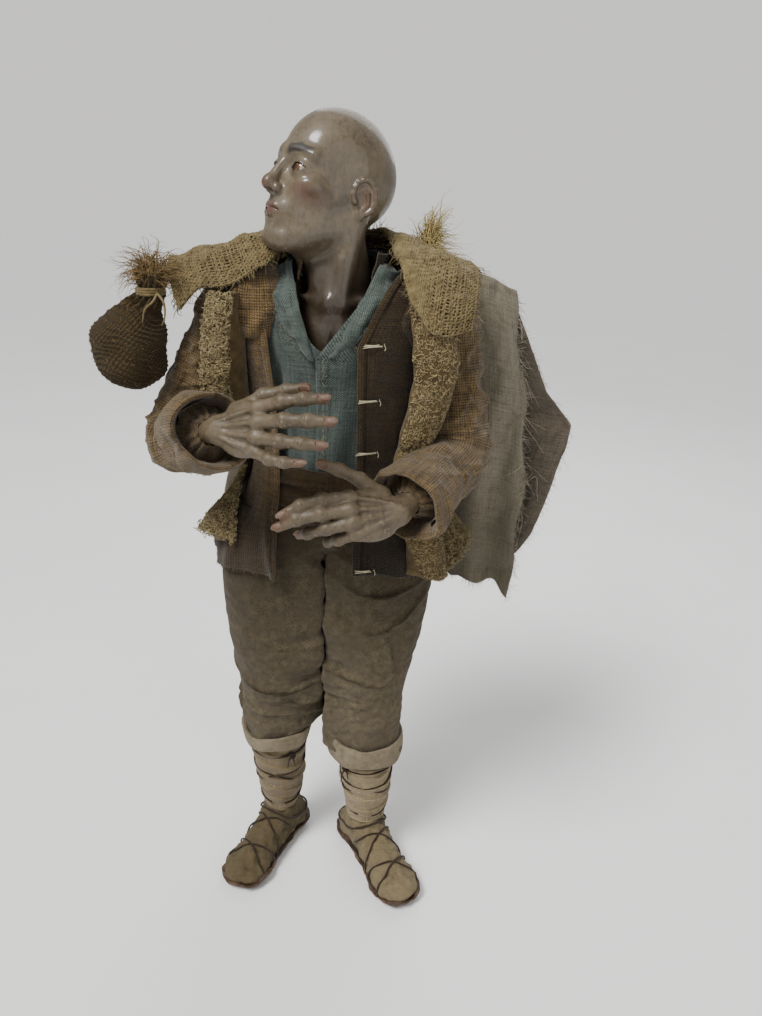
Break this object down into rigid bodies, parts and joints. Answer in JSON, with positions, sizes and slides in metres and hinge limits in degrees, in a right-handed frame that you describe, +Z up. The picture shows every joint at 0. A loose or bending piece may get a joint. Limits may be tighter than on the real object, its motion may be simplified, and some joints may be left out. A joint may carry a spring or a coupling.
{
  "type": "nativity crib figure of a standing shepherd",
  "caption": "Standing crib figure of a shepherd: painted terracotta bust, hands and feet on a wire and tow body, in layered cloth dress with a tied sack; posable limbs.",
  "frame": {"origin": "centre of the whole figure's plan, on the surface the soles stand on", "axes": "+Z up; the figure faces -Y and its right side is at -X; metres"},
  "size_m": [0.2105, 0.1111, 0.3752],
  "materials": {
    "terracotta_skin": "gloss",
    "eye_glass": "polished",
    "iron_wire": "matte",
    "tow": "matte",
    "linen_twine": "matte",
    "shirt_twill": "matte",
    "sash_cloth": "matte",
    "jacket_cloth": "matte",
    "cream_thread": "matte",
    "sheepskin": "matte",
    "burlap": "matte",
    "cloak_cloth": "matte",
    "sack_jute": "matte",
    "breeches_felt": "matte",
    "patch_felt": "matte",
    "sleeve_cloth": "matte",
    "wrap_linen": "matte",
    "sole_leather": "satin",
    "dark_cord": "matte"
  },
  "bodies": {
    "torso": {"spine_wire": "iron_wire", "torso_tow": "tow", "tow_binding": "linen_twine", "breeches_seat": "breeches_felt", "shirt": "shirt_twill", "shirt_collar": "shirt_twill", "waist_sash": "sash_cloth", "jacket": "jacket_cloth", "jacket_stitches": "cream_thread", "sheepskin_vest": "sheepskin", "burlap_mantle": "burlap", "cloak": "cloak_cloth", "back_tow_tuft": "tow"},
    "bust": {"bust": "terracotta_skin", "eyes": "eye_glass"},
    "sack": {"sack_bag": "sack_jute", "sack_tie": "linen_twine", "sack_tow_tuft": "tow"},
    "upper_arm_right": {"upper_arm_wire_right": "iron_wire", "upper_arm_tow_right": "tow", "upper_sleeve_right": "sleeve_cloth"},
    "forearm_right": {"forearm_wire_right": "iron_wire", "forearm_tow_right": "tow", "lower_sleeve_right": "sleeve_cloth", "sleeve_cuff_right": "sleeve_cloth"},
    "hand_right": {"hand_right": "terracotta_skin"},
    "thigh_right": {"thigh_wire_right": "iron_wire", "thigh_tow_right": "tow", "breeches_leg_right": "breeches_felt", "thigh_patch_right": "patch_felt"},
    "shin_right": {"shin_wire_right": "iron_wire", "knee_tow_right": "tow", "shin_and_foot_right": "terracotta_skin", "breeches_knee_right": "breeches_felt", "breeches_turn_up_right": "breeches_felt", "leg_wrap_right": "wrap_linen", "foot_wrap_right": "wrap_linen", "sole_right": "sole_leather", "lacing_cord_right": "dark_cord"},
    "upper_arm_left": {"upper_arm_wire_left": "iron_wire", "upper_arm_tow_left": "tow", "upper_sleeve_left": "sleeve_cloth"},
    "forearm_left": {"forearm_wire_left": "iron_wire", "forearm_tow_left": "tow", "lower_sleeve_left": "sleeve_cloth", "sleeve_cuff_left": "sleeve_cloth"},
    "hand_left": {"hand_left": "terracotta_skin"},
    "thigh_left": {"thigh_wire_left": "iron_wire", "thigh_tow_left": "tow", "breeches_leg_left": "breeches_felt", "thigh_patch_left": "patch_felt"},
    "shin_left": {"shin_wire_left": "iron_wire", "knee_tow_left": "tow", "shin_and_foot_left": "terracotta_skin", "breeches_knee_left": "breeches_felt", "breeches_turn_up_left": "breeches_felt", "leg_wrap_left": "wrap_linen", "foot_wrap_left": "wrap_linen", "sole_left": "sole_leather", "lacing_cord_left": "dark_cord"}
  },
  "joints": [
    {"name": "bust_turn", "type": "hinge", "parent": "torso", "child": "bust", "pos_m": [-0.0048, 0.0145, 0.3], "axis": [0, 0, 1], "range_deg": [-15, 15]},
    {"name": "sack_swing", "type": "hinge", "parent": "torso", "child": "sack", "pos_m": [-0.0782, -0.0043, 0.307], "axis": [0, 1, 0], "range_deg": [0, 14]},
    {"name": "shoulder_swing_right", "type": "hinge", "parent": "torso", "child": "upper_arm_right", "pos_m": [-0.0518, 0.0155, 0.3], "axis": [-1, 0, 0], "range_deg": [-8, 12]},
    {"name": "elbow_bend_right", "type": "hinge", "parent": "upper_arm_right", "child": "forearm_right", "pos_m": [-0.0748, 0.0015, 0.239], "axis": [-0.8014, -0.4415, 0.4035], "range_deg": [-10, 10]},
    {"name": "wrist_turn_right", "type": "hinge", "parent": "forearm_right", "child": "hand_right", "pos_m": [-0.0448, -0.0365, 0.257], "axis": [0.5808, -0.7357, 0.3485], "range_deg": [-20, 20]},
    {"name": "hip_swing_right", "type": "hinge", "parent": "torso", "child": "thigh_right", "pos_m": [-0.0328, 0.0135, 0.188], "axis": [-1, 0, 0], "range_deg": [-8, 10]},
    {"name": "knee_bend_right", "type": "hinge", "parent": "thigh_right", "child": "shin_right", "pos_m": [-0.0313, 0.0115, 0.106], "axis": [1, 0, 0], "range_deg": [0, 35]},
    {"name": "shoulder_swing_left", "type": "hinge", "parent": "torso", "child": "upper_arm_left", "pos_m": [0.0422, 0.0155, 0.3], "axis": [-1, 0, 0], "range_deg": [0, 12]},
    {"name": "elbow_bend_left", "type": "hinge", "parent": "upper_arm_left", "child": "forearm_left", "pos_m": [0.0502, 0.0075, 0.239], "axis": [-0.8429, 0.508, -0.1772], "range_deg": [-10, 6]},
    {"name": "wrist_turn_left", "type": "hinge", "parent": "forearm_left", "child": "hand_left", "pos_m": [0.0272, -0.0345, 0.228], "axis": [-0.4681, -0.8548, -0.2239], "range_deg": [-20, 20]},
    {"name": "hip_swing_left", "type": "hinge", "parent": "torso", "child": "thigh_left", "pos_m": [0.0194, 0.0135, 0.188], "axis": [-1, 0, 0], "range_deg": [-8, 10]},
    {"name": "knee_bend_left", "type": "hinge", "parent": "thigh_left", "child": "shin_left", "pos_m": [0.0142, 0.0115, 0.107], "axis": [1, 0, 0], "range_deg": [0, 35]}
  ]
}
